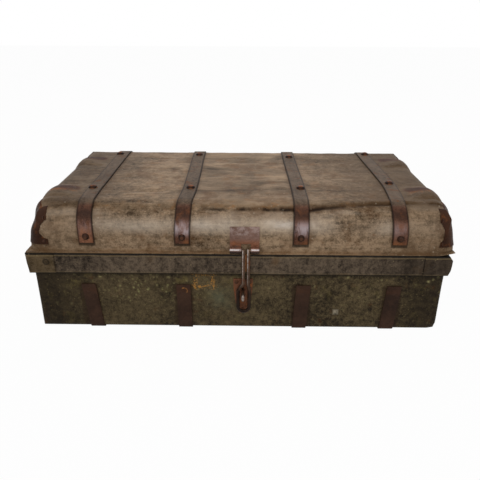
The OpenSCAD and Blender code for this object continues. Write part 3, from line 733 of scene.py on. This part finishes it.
def lid_paint():
    """Tan paint, worn pale with painted highlights along the bulge of the front, dark towards the ends, and
    cracked at the crease, with painted shade in it.
    """
    f = Finish("worn lid paint")
    broad = f.cloud(5.5, 3, 0.5)
    streak = f.cloud(13, 7, 0.62, stretch=(0.4, 1.7, 1.7), twist=0.6)
    blotch = f.cloud(11, 5, 0.6, stretch=(0.8, 1.3, 1.3), move=(4, 2, 0), twist=1.2)
    patch = f.cloud(24, 5, 0.6, move=(0.3, 0.1, 0.7))
    grain = f.cloud(30, 6, 0.66, stretch=(0.28, 2.2, 2.2), move=(0, 5, 0))
    scratch = f.cloud(130, 5, 0.7, stretch=(0.16, 1.6, 1.6), move=(6, 0, 3))
    fine = f.cloud(95, 6, 0.68)
    grit = f.cloud(360, 3, 0.7, move=(1, 2, 3))
    top = f.z.step(0.232, 0.243)
    upper = f.z.step(0.20, 0.22)
    front = 1 - f.y.step(-0.206, -0.176)
    off_middle = f.x.size()
    inward = LID_HALF_X - (f.x - LID_SHIFT).size()
    outside = f.outside(1)

    # The paint itself, smoothest in the middle of the top
    crisp = 1 + f.x.step(0.05, 0.22) * 0.15 - top * (1 - off_middle.step(0.06, 0.24)) * 0.75
    tone = 0.60 - top * 0.02 + broad.swing(1.0) + streak.swing(1.4) + blotch.swing(0.8 + top * 0.9)
    tone = tone + (fine.swing(2.0) + grit.swing(1.4) + scratch.swing(1.1)) * crisp + grain.swing(0.4) * top
    f.ground("40301f", "ad9275", tone)
    f.lay("5f3f22", patch.step(0.48, 0.68) * 0.6)
    tan = f.cloud(38, 6, 0.7, stretch=(0.6, 1.2, 1.2), move=(9, 4, 6)).step(0.52, 0.66)
    f.lay("94693f", tan * (0.16 + top * 0.22))

    # The bulge of the front, worn pale and lit by a painted highlight, with brighter painted highlights in
    # places, a darker band below it and the brown ledge
    soft = f.cloud(9, 2, 0.4, stretch=(0.8, 1, 1), move=(1, 1, 5))
    # Pale wear, partly a painted highlight of the light on the bulge
    bare = f.z.bump(0.210, 0.022) * front * soft.step(0.24, 0.58)
    bare = bare * (1 - off_middle.step(0.270, 0.315) * 0.8)
    f.lay("b8a997", bare * (fine * 0.7 + scratch * 0.6))
    # A painted highlight: the light's reflection on the bulge, kept off the ends
    painted_highlight = f.z.bump(0.212, 0.012) * front * soft.step(0.46, 0.66) * streak.step(0.35, 0.6)
    painted_highlight = painted_highlight * (1 - off_middle.step(0.24, 0.29))
    f.lay("d3ccc6", painted_highlight * 0.55)
    f.lay("3e3224", front * (1 - f.z.step(0.174, 0.197)) * patch.step(0.34, 0.56) * 0.08)
    ledge = 1 - (f.z + fine.swing(0.010)).step(0.160, 0.170)
    f.lay("8a6c4c", ledge * scratch.step(0.30, 0.66) * 0.85)

    # The crease: stains and amber behind it, a pale edge before it, painted shade in the crease itself and
    # broken cracks
    crease = f.x.step(0.10, 0.31) * 0.016 + (1 - f.x.step(-0.30, -0.15)) * 0.004 + CREASE_Y
    behind = f.y + f.cloud(14, 2, 0.5, stretch=(1, 0, 0)).swing(0.010)
    behind = behind + f.cloud(70, 2, 0.5, stretch=(1, 0, 0)).swing(0.005) - crease
    broken = f.cloud(17, 3, 0.6, stretch=(1, 0, 0), move=(3, 0, 0)).step(0.38, 0.56)
    band = (1 - behind.step(0.0, 0.044)) * behind.step(-0.004, 0.002) * upper
    f.lay("4f3a20", band * (0.03 + broken * 0.17) * fine.step(0.25, 0.6))
    amber = f.cloud(80, 4, 0.7, stretch=(0.6, 1, 1), move=(2, 6, 2)).step(0.54, 0.68)
    f.lay("96683a", band * amber * 0.6)
    f.lay("b9aa98", behind.bump(-0.010, 0.012) * upper * streak.step(0.4, 0.6) * 0.35)
    # Painted shade along the crease
    crease_shade = behind.bump(0.001, 0.0090) * upper * f.x.step(0.02, 0.10) * streak.step(0.25, 0.50)
    f.lay("3a2210", crease_shade * (0.50 + broken * 0.40))
    crack = behind.bump(0.0, 0.0050) * broken * upper * fine.step(0.34, 0.50)
    crack = crack * (0.15 + f.x.step(-0.09, -0.02) * 0.85)
    f.lay("1a110b", crack * 0.95)

    # Stains beside the straps, and painted shadow lines along their edges
    edge = strap_distance(f, slipped_middles(f))
    stain = 1 - (edge + fine.swing(0.006)).step(0.0150, 0.0225)
    f.lay("4f3219", stain * (f.z + fine.swing(0.01)).step(0.170, 0.180) * outside * 0.28)
    # Painted shadow where the sheet meets the straps' edges
    f.lay("170e08", (1 - edge.step(0.0138, 0.0156)) * f.z.step(0.171, 0.174) * outside * 0.75)

    # Darker towards the ends, and on the right of the top
    f.lay("3b2b1a", (1 - inward.step(0.010, 0.260)) * (0.32 + top * 0.42))
    f.lay("5a4226", f.x.step(0.06, 0.24) * top * 0.40)

    # Rust rubbed on to the flutes with painted shade at its darkest on their back halves, and the dark turn
    # down over the ends
    loose = f.y + fine.swing(0.014) + patch.swing(0.012)
    ridge = loose.bump(FLUTE_Y[0] + 0.008, 0.022).math("MAXIMUM", loose.bump(FLUTE_Y[1] + 0.014, 0.026))
    on_flute = (1 - inward.step(0.056, 0.078)) * outside
    # Rust, and at its darkest painted shade, on the back halves of the flutes
    rub = ridge * on_flute * f.z.step(0.200, 0.225)
    f.lay("4a230c", rub.step(0.05, 0.80) * fine.step(0.28, 0.52) * 0.9)
    f.lay("1c0d05", rub.step(0.45, 1.0) * streak.step(0.40, 0.56) * 0.7)
    f.lay("8a5428", loose.bump(FLUTE_Y[0] - 0.006, 0.010) * on_flute * fine.step(0.44, 0.58) * 0.6)
    turned = (1 - inward.step(0.001, 0.012)) * (f.z + patch.swing(0.02)).step(0.175, 0.20)
    f.lay("21140b", turned * 0.6)

    # Dark specks, pale chips and spots of rust
    specks = f.specks(150, 0.28) * grit.step(0.48, 0.62)
    f.lay("2a1e14", specks * 0.6)
    f.lay("c3b59e", f.specks(95, 0.22, (4, 1, 2)) * patch.step(0.45, 0.6) * 0.45)
    rust = f.cloud(55, 5, 0.7, move=(7, 1, 4)).step(0.60, 0.72) * broad.step(0.42, 0.6)
    f.lay("6e4424", rust * 0.5)

    rough = 0.62 - bare * 0.20 - painted_highlight * 0.12 - top * streak * 0.10 + grit.swing(0.2) + crack * 0.2
    height = (fine * 0.7 + grit * 0.35 + scratch * 0.5) * crisp
    height = height + streak * 0.9 + grain * 0.4 - crack * 2.0 - specks * 0.3
    return f.surface(rough, bare * 0.25 + 0.06, height, depth=0.0010)


def rim_paint():
    """Dark paint, browner than the base's, rubbed along the rim's edges with a painted highlight on the top
    one, painted shadow in the gaps over and under it, and darkest at the right.
    """
    f = Finish("worn rim paint")
    broad = f.cloud(7, 3, 0.5)
    upright = f.cloud(26, 6, 0.62, stretch=(1.6, 1.6, 0.6))
    fine = f.cloud(110, 6, 0.68)
    grit = f.cloud(400, 3, 0.7)
    tone = 0.46 - f.x.size().step(0.0, 0.30) * 0.05 + f.x.bump(0.10, 0.16) * 0.09
    tone = tone + broad.swing(1.1) + upright.swing(1.7) + fine.swing(2.1) + grit.swing(1.3)
    f.ground("1f1710", "716150", tone)
    f.lay("5f4426", f.cloud(19, 4, 0.6, move=(2, 0, 0)).step(0.56, 0.72) * 0.5)
    f.lay("2b2117", f.x.step(0.22, 0.336) * 0.6)

    # The laps, the rubbed edges with a painted highlight along the top one, and painted shadow in the gaps
    # over and under the rim
    lap = (f.x.size() - RIM_LAP_X).size()
    f.lay("120c07", (1 - lap.step(0.0, 0.0016)) * (0.3 + f.x.step(0, 0.1) * 0.4))
    left = 1 - f.x.step(-0.335, -0.328)
    f.lay("6a5636", left * upright * 0.8)
    sway = f.z + f.cloud(20, 3, 0.5, stretch=(1, 0, 0)).swing(0.004)
    # Pale rubbed edges, with a painted highlight along the top one
    edge = sway.bump(0.1545, 0.0022) + (1 - f.z.step(0.1212, 0.1240)) * 0.6
    f.lay("8f7a56", edge * (0.3 + fine * 0.8) * 0.6)
    # Painted shadow in the gaps over and under the rim
    rim_gap_shadow = sway.step(0.1558, 0.1572) + (1 - f.z.step(0.1204, 0.1217))
    f.lay("0d0906", rim_gap_shadow * 0.9)

    # Pale specks and dust, and the strip under the hasp
    pale = f.specks(120, 0.2, (1, 5, 2)) * upright.step(0.45, 0.6)
    f.lay("a9986f", pale * 0.5)
    strip = f.x.bump(RUBBED_X, 0.0042) * f.z.step(0.123, 0.128) * (1 - f.y.step(-0.21, -0.20))
    f.lay("b9794c", strip * (0.5 + fine * 0.9))
    dust = f.cloud(34, 6, 0.72, move=(8, 2, 0)).step(0.58, 0.72) * f.x.bump(0.20, 0.14)
    f.lay("7c7457", dust * 0.5)

    # The rivets through the laps, each in a dark ring
    across, up = f.x.size() - RIM_RIVET_X, f.z - RIM_RIVET_Z
    ring = (across * across + up * up).math("SQRT") + fine.swing(0.002)
    f.lay("120c07", ring.bump(0.0048, 0.0026) * (0.45 + (1 - f.x.step(-0.1, 0.1)) * 0.3))
    f.lay("22180f", (1 - ring.step(0.001, 0.005)) * 0.5)

    specks = f.specks(170, 0.26) * grit.step(0.48, 0.62)
    f.lay("100b07", specks * 0.55)
    rough = 0.60 - upright.swing(0.3) + grit.swing(0.2)
    height = fine * 0.5 + grit * 0.2 + upright * 0.7 - specks * 0.3
    return f.surface(rough, upright.step(0.45, 0.75) * 0.2 + 0.05, height, depth=0.0009)


def base_paint():
    """Dark paint full of pale dust and specks, with flecks of a label left of the hasp and painted shadow
    under the rim.
    """
    f = Finish("worn base paint")
    broad = f.cloud(6, 3, 0.5, move=(5, 0, 0))
    patch = f.cloud(22, 5, 0.6)
    fine = f.cloud(120, 6, 0.7)
    grit = f.cloud(420, 3, 0.7)
    front = 1 - f.y.step(-0.20, -0.19)
    outside = f.outside(-1)
    crisp = 0.85 + f.x.step(-0.02, 0.06) * 0.3
    tone = 0.47 - f.x.size().step(0.0, 0.30) * 0.09 + broad.swing(1.0) + patch.swing(1.3)
    tone = tone + f.x.bump(0.06, 0.12) * 0.06 + f.x.bump(-0.02, 0.10) * 0.09
    tone = tone + (fine.swing(2.2) + grit.swing(1.4)) * crisp
    f.ground("20180d", "695a40", tone)
    f.lay("1d1409", f.x.size().step(0.25, 0.36) * 0.68)
    green = f.x.bump(-0.034, 0.040) * f.z.bump(0.066, 0.040) * patch.step(0.36, 0.54)
    f.lay("5f6450", green * 0.50)

    # Dust and pale specks, most of them high on the sides
    top = f.z.step(0.060, 0.110)
    dust = f.specks(75, 0.36, (2, 1, 0)) * patch.step(0.40, 0.60) * fine.step(0.42, 0.6)
    f.lay("a79c6c", dust * (0.35 + top * 0.4))
    dense = f.specks(120, 0.42, (3, 3, 7), heart=0.05) * fine.step(0.40, 0.56)
    f.lay("9c9564", dense * f.x.bump(-0.17, 0.12) * f.z.bump(0.085, 0.045) * 0.8)
    dots = f.specks(190, 0.32, (0, 4, 1)) * broad.step(0.36, 0.58) * grit.step(0.44, 0.6)
    f.lay("8f8052", dots * 0.65)
    spread = f.cloud(46, 6, 0.74, move=(6, 3, 1)).step(0.54, 0.70)
    f.lay("6d6038", spread * (0.2 + top * 0.35))
    rust = f.cloud(40, 5, 0.7, move=(1, 9, 2)).step(0.58, 0.72)
    f.lay("4e3018", rust * 0.55)

    # The flecks of the label, the stains beside the straps and a chip
    from_x, from_z = (f.x - LABEL_X).size(), (f.z - LABEL_Z).size()
    border = (from_x - 0.016).size().math("MINIMUM", (from_z - 0.013).size())
    inside = (1 - from_x.step(0.021, 0.025)) * (1 - from_z.step(0.018, 0.022)) * front
    flake = f.cloud(230, 4, 0.75, move=(2, 7, 5))
    flecks = (1 - border.step(0.001, 0.006)) * flake.step(0.49, 0.58) + flake.step(0.60, 0.68) * 0.5
    f.lay("b5813f", inside * flecks * 0.95)
    beside = strap_distance(f, BASE_STRAP_X) + fine.swing(0.006)
    f.lay("2b1a0e", (1 - beside.step(0.0150, 0.0205)) * (1 - f.z.step(0.090, 0.100)) * outside * 0.6)
    chip = (f.x - CHIP_X).size().math("MAXIMUM", (f.z - CHIP_Z).size()) + fine.swing(0.010)
    f.lay("b9ae98", (1 - chip.step(0.003, 0.007)) * front * fine.step(0.3, 0.6) * 0.6)

    specks = f.specks(160, 0.27) * grit.step(0.48, 0.62)
    f.lay("0e0905", specks * 0.6)
    # Painted shadow along the top of the base, under the rim
    f.lay("0b0704", f.z.step(0.110, 0.119) * outside * 0.75)
    rough = 0.62 + grit.swing(0.25) - dots * 0.15
    height = fine * 0.6 + grit * 0.25 + patch * 0.5 - specks * 0.3 + dots * 0.2
    return f.surface(rough, 0.06, height, depth=0.0009)


def rusty_iron(name, dark, middle, rust, gloss, marks=None):
    """Flat iron under a thin skin of rust; marks lays on what only one piece shows."""
    f = Finish(name)
    shift = len(name)  # gives each iron a pattern of its own
    broad = f.cloud(16, 4, 0.55, move=(shift, 0, 0))
    fine = f.cloud(130, 6, 0.7)
    grit = f.cloud(480, 3, 0.7)
    f.ground(dark, middle, 0.5 + broad.swing(1.4) + fine.swing(0.9))
    bloom = f.cloud(48, 5, 0.65, move=(0, shift, 0)).step(0.54, 0.70)
    f.lay(rust, bloom * 0.6)
    if marks:
        marks(f, broad, fine)
    pits = f.specks(210, 0.30) * grit.step(0.46, 0.6)
    f.lay("140c08", pits * 0.5)
    rough = 0.60 - gloss * (0.35 + broad.step(0.40, 0.62) * 0.5) + grit.swing(0.22) + bloom * 0.12
    height = fine * 0.55 + grit * 0.25 + broad * 0.8 - pits * 0.5
    return f.surface(rough, (1 - bloom) * 0.25, height, depth=0.0007)


def hasp_plate_marks(f, broad, fine):
    """Rust low on the plate, bare metal with a painted highlight at its edges, and barrels with painted shade
    below and a painted highlight along their tops in front.
    """
    f.lay("86502f", f.z.bump(0.178, 0.014) * (broad + fine - 0.5).step(0.35, 0.60) * 0.7)
    # Bare metal and a painted highlight along the plate's edges
    edges = (f.x - HASP_X).size().step(0.0255, 0.0285) + f.z.step(0.1935, 0.1980)
    edges = (edges * f.z.step(0.172, 0.178)).math("MINIMUM", 1.0)
    f.lay("b3a29c", edges * fine.step(0.42, 0.60) * 0.42)
    # Painted shade under the barrels and a painted highlight along their tops
    barrels = 1 - f.y.step(-0.2188, -0.2180)
    f.lay("1b100b", barrels * (1 - f.z.step(0.1672, 0.1690)) * 0.8)
    f.lay("e6dedd", barrels * f.z.bump(0.1708, 0.0022) * fine.step(0.30, 0.55) * 0.8)


def lid_strap_iron():
    """The lid's straps: dull on top, with painted shade where they bend, a painted highlight below it and
    rust at the foot.
    """
    f = Finish("lid strap iron")
    broad = f.cloud(16, 4, 0.55, move=(4, 0, 0))
    run = f.cloud(60, 5, 0.65, stretch=(2.2, 0.5, 0.5))
    fine = f.cloud(130, 6, 0.7)
    grit = f.cloud(480, 3, 0.7)
    tone = 0.56 + broad.swing(1.3) + fine.swing(1.7) + grit.swing(1.5) + run.swing(0.9)
    top = f.z.step(0.238, 0.244)
    brown = f.blend(paint("351d13"), paint("78513e"), tone)
    dull = f.blend(paint("34271c"), paint("6e5b4a"), tone)
    f.colour = f.blend(brown, dull, top)
    # Painted shade where the straps bend over the shoulder
    bend = f.z.bump(0.229, 0.017) * f.y.size().step(0.150, 0.175)
    f.lay("1c0f09", bend * 0.75)
    # A painted highlight on the straps' fronts, mostly on the middle two
    glow = f.z.bump(0.206, 0.018) * (0.3 + broad) * run.step(0.34, 0.60)
    glow = glow * (1 - f.x.size().step(0.14, 0.24) * 0.72)
    f.lay("bdaeb0", glow * 0.9)
    foot = (1 - f.z.step(0.180, 0.190)) * broad.step(0.38, 0.56)
    f.lay("84512c", foot * 0.6)
    first = (1 - f.x.step(-0.240, -0.200)) * (1 - f.z.step(0.195, 0.220))
    f.lay("96654a", first * fine.step(0.25, 0.72))
    bloom = f.cloud(48, 5, 0.65, move=(0, 4, 0)).step(0.54, 0.70)
    f.lay("7b4a2b", bloom * 0.5)
    edge = strap_distance(f, slipped_middles(f)) + fine.swing(0.002)
    f.lay("130a06", edge.step(0.0102, 0.0128) * 0.7)
    pits = f.specks(210, 0.30) * grit.step(0.46, 0.6)
    f.lay("140c08", pits * 0.5)
    rough = 0.60 - glow * 0.22 - (1 - top) * 0.12 + grit.swing(0.22) + bloom * 0.12
    height = fine * 0.55 + grit * 0.25 + broad * 0.8 + run * 0.4 - pits * 0.5
    return f.surface(rough, (1 - bloom) * 0.25, height, depth=0.0008)


def base_strap_iron():
    """The base's straps: dark and dull, with a rusty half ring left round the second one's rivet."""
    f = Finish("base strap iron")
    broad = f.cloud(16, 4, 0.55, move=(8, 0, 0))
    fine = f.cloud(130, 6, 0.7)
    grit = f.cloud(480, 3, 0.7)
    f.ground("1d110b", "4b3427", 0.48 + broad.swing(1.5) + fine.swing(1.0))
    across, up = f.x - BASE_STRAP_X[1] - 0.0012, f.z - BASE_RIVET_Z
    ring = (across * across + up * up).math("SQRT").bump(0.0058, 0.0018) * (up + across).step(-0.002, 0.003)
    f.lay("a8703a", ring * fine.step(0.35, 0.5) * 0.9)
    f.lay("4a2f20", f.z.bump(BASE_RIVET_Z, 0.009) * 0.45)
    return f.surface(0.60 + grit.swing(0.25), 0.1, fine * 0.6 + grit * 0.3 + broad * 0.7, depth=0.0007)


def rivet_iron():
    """Rivet heads: rusty crowns with a dark foot on the lid's top, and dark elsewhere."""
    f = Finish("rivet iron")
    turned_x, turned_y, turned_z = (part.size() for part in f.facing())
    crown = turned_x.math("MAXIMUM", turned_y).math("MAXIMUM", turned_z)
    fine = f.cloud(160, 5, 0.7)
    patch = f.cloud(60, 2, 0.5)
    top = f.z.step(0.240, 0.243)
    dull = f.blend(paint("23150e"), paint("5a3a28"), (crown + fine.swing(0.4)).step(0.70, 1.0))
    rusty = f.blend(paint("120905"), paint("7c4a2c"), (crown + fine.swing(0.5)).step(0.74, 1.0))
    f.colour = f.blend(dull, rusty, top)
    f.lay("39241a", patch.step(0.46, 0.60) * 0.75)
    return f.surface(0.48 + fine.swing(0.3), 0.25, fine, depth=0.0006)


def dark_iron():
    """Round bars: dark, with rust between, and painted highlights high on their left sides and on the
    staple's nose.
    """
    f = Finish("handled iron")
    fine = f.cloud(140, 6, 0.7)
    broad = f.cloud(24, 3, 0.5)
    grit = f.cloud(520, 3, 0.7)
    f.ground("251912", "6b5342", 0.45 + broad.swing(1.6) + fine.swing(0.8))
    rust = f.cloud(60, 5, 0.65, move=(3, 3, 3)).step(0.50, 0.66)
    f.lay("6a3d22", rust * 0.7)
    turned_x, turned_y, _ = f.facing()
    # A painted highlight on the bars' sides that face left, high on the hasp
    worn = turned_x.bump(-0.40, 0.40) * (1 - turned_y.step(-0.6, -0.3)) * f.z.step(0.090, 0.145)
    f.lay("d9cfc8", worn * fine.step(0.30, 0.60) * 0.8)
    f.lay("150d09", (1 - f.z.step(0.080, 0.096)) * 0.75)
    # A painted highlight on the staple's nose
    crown = (1 - f.y.step(-0.2338, -0.2318)) * fine.step(0.35, 0.60)
    f.lay("b5a79d", crown * 0.8)
    rough = 0.44 + rust * 0.20 + grit.swing(0.22)
    return f.surface(rough, 0.45 - rust * 0.3, fine * 0.6 + grit * 0.2, depth=0.0005)


# The pieces and their finishes

lid_finish = lid_paint()
rim_finish = rim_paint()
base_finish = base_paint()
lid_strap_finish = lid_strap_iron()
base_strap_finish = base_strap_iron()
corner_finish = rusty_iron("corner iron", "120905", "4a2b19", "7a4822", 0.10)
hasp_plate_finish = rusty_iron("hasp plate iron", "452f28", "927366", "94532a", 0.22, hasp_plate_marks)
staple_plate_finish = rusty_iron("staple plate iron", "432719", "8d5d44", "a3622f", 0.12)
hinge_finish = rusty_iron("hinge iron", "2b211a", "57483b", "603e27", 0.12)
rivet_finish = rivet_iron()
bar_finish = dark_iron()

STRAPS = [f"lid_strap_{k}" for k in (1, 2, 3, 4)]
BASE_STRAPS = [f"base_strap_{k}" for k in (1, 2, 3, 4)]
CORNERS = ["front_left_corner", "front_right_corner", "back_left_corner", "back_right_corner"]

sheet = make_lid_sheet()
sheet.data.materials.append(lid_finish)

# Pieces made on CAD nodes: their wear, bevel, distance between rows, the axes cut by rows, finish and slot
for nodes, wear, bevel, step, axes, finish, slot in (
    (["lid_left_end", "lid_right_end"], lid_wear, 0, 0.020, (1, 2), lid_finish, "lid_paint"),
    (STRAPS, strap_wear, 0.0007, 0.009, (0, 1, 2), lid_strap_finish, "lid_strap_iron"),
    (CORNERS, torn_plate_wear, 0.0004, 0.004, (0, 1, 2), corner_finish, "corner_iron"),
    (["lid_strap_rivets"], strap_rivet_wear, 0, 0, (), rivet_finish, "rivet_iron"),
    (["corner_rivets"], plate_wear, 0, 0, (), rivet_finish, "rivet_iron"),
    (["hasp_plate"], None, 0.0006, 0, (), hasp_plate_finish, "hasp_plate_iron"),
    (["hasp_plate_rivets"], None, 0, 0, (), hasp_plate_finish, "hasp_plate_iron"),
    (["rim_front", "rim_back", "rim_left", "rim_right"], rim_wear, 0.0004, 0.012, (0, 1, 2),
     rim_finish, "rim_paint"),
    (["rim_rivets"], rim_wear, 0, 0, (), rim_finish, "rim_paint"),
    (["base_sheet", "base_left_end", "base_right_end"], base_wear, 0, 0.014, (0, 1, 2),
     base_finish, "base_paint"),
    (BASE_STRAPS, base_strap_wear, 0.0008, 0.009, (0, 1, 2), base_strap_finish, "base_strap_iron"),
    (["base_strap_rivets"], sunk_rivet_wear, 0, 0, (), base_strap_finish, "base_strap_iron"),
    (["hinge_lower_rivets"], base_wear, 0, 0, (), rivet_finish, "rivet_iron"),
    (["left_hinge_lower_leaf", "right_hinge_lower_leaf"], base_wear, 0.0004, 0.010, (0, 2),
     hinge_finish, "hinge_iron"),
    (["left_hinge_upper_leaf", "right_hinge_upper_leaf"], None, 0.0004, 0, (), hinge_finish, "hinge_iron"),
    (["left_handle_brackets", "right_handle_brackets"], None, 0.0006, 0, (), hinge_finish, "hinge_iron"),
    (["staple_plate"], None, 0.0005, 0, (), staple_plate_finish, "staple_plate_iron"),
    (["hasp_wire", "staple", "left_handle_bail", "right_handle_bail"], forged, 0, 0.006, (0, 1, 2),
     bar_finish, "dark_iron"),
):
    for node in nodes:
        piece = worked(node, wear, bevel, step, axes)
        piece.data.materials.append(finish)

# CAD nodes that keep their own form
for nodes, finish in ((("hinge_upper_rivets", "handle_rivets", "staple_rivets"), rivet_finish),
                      (("base_top_wire", "hinge_pins"), bar_finish)):
    for node in nodes:
        for held in frame["nodes"][node].material_slots:
            held.material = finish

# Each mesh keeps its own normals as an attribute, for the finishes that ask which way a face is turned
for mesh in bpy.data.meshes:
    facing = mesh.attributes.new("facing", "FLOAT_VECTOR", "CORNER")
    facing.data.foreach_set("vector", [value for corner in mesh.corner_normals for value in corner.vector])


# Floor, light and camera

def seen(nodes):
    """1 for what the camera sees, straight or through a mirror or glass, and 0 for light on its way."""
    camera_ray, mirror, glass = (nodes.node("LightPath", out=f"Is {kind} Ray")
                                 for kind in ("Camera", "Glossy", "Transmission"))
    return camera_ray.math("MAXIMUM", mirror).math("MAXIMUM", glass)


def pale_floor():
    """A floor nearly as white as what lies behind it, with a trace of the trunk's shadow."""
    f = Finish("pale floor")
    plain = f.node("BsdfDiffuse", {}, {"Color": (0.8, 0.8, 0.8, 1)})
    white = f.node("Emission", {}, {"Color": (1, 1, 1, 1), "Strength": 1.0})
    mixed = f.node("MixShader", {}, {0: seen(f) * 0.97, 1: plain, 2: white})
    f.node("OutputMaterial", {}, {"Surface": mixed})
    return f.material


bpy.ops.object.select_all(action="DESELECT")
bpy.ops.mesh.primitive_plane_add(size=16, location=(0, 0, -0.0003))
floor = bpy.context.object
floor.name = "studio_floor"
floor.data.materials.append(pale_floor())

# White to look at, but dimmer as a light
SKY_LIGHT = 0.36
world = bpy.data.worlds.new("studio")
bpy.context.scene.world = world
world.use_nodes = True
sky = Nodes(world.node_tree)
strength = seen(sky) * (1 - SKY_LIGHT) + SKY_LIGHT
glow = sky.node("Background", {}, {"Color": (1, 1, 1, 1), "Strength": strength})
sky.node("OutputWorld", {}, {"Surface": glow})

for name, place, aim, width, height, power in (
    ("key", (-0.35, -1.5, 2.1), (0, -0.1, 0.15), 2.0, 1.2, 20),
    ("right fill", (2.2, -0.9, 1.3), (0, 0, 0.1), 1.4, 1.4, 7),
    ("back", (0.2, 1.9, 1.9), (0, 0.1, 0.2), 2.0, 0.9, 9),
):
    lamp = bpy.data.lights.new(name, "AREA")
    lamp.shape = "RECTANGLE"
    lamp.size, lamp.size_y, lamp.energy = width, height, power
    light = bpy.data.objects.new(name, lamp)
    bpy.context.scene.collection.objects.link(light)
    light.location = place
    light.rotation_euler = (Vector(aim) - Vector(place)).to_track_quat("-Z", "Y").to_euler()

# The camera, as fitted to the straight edges in the photograph
LOOK_DOWN = 0.4225
eye = bpy.data.cameras.new("view")
eye.sensor_width = 36
eye.lens = 38.478
camera = bpy.data.objects.new("view", eye)
bpy.context.scene.collection.objects.link(camera)
camera.location = (0.0119, -1.0370, 0.5565)
camera.rotation_mode = "XYZ"
camera.rotation_euler = (math.pi / 2 - LOOK_DOWN, -0.0031, 0.0132)
bpy.context.scene.camera = camera
bpy.context.scene.view_settings.view_transform = "Standard"
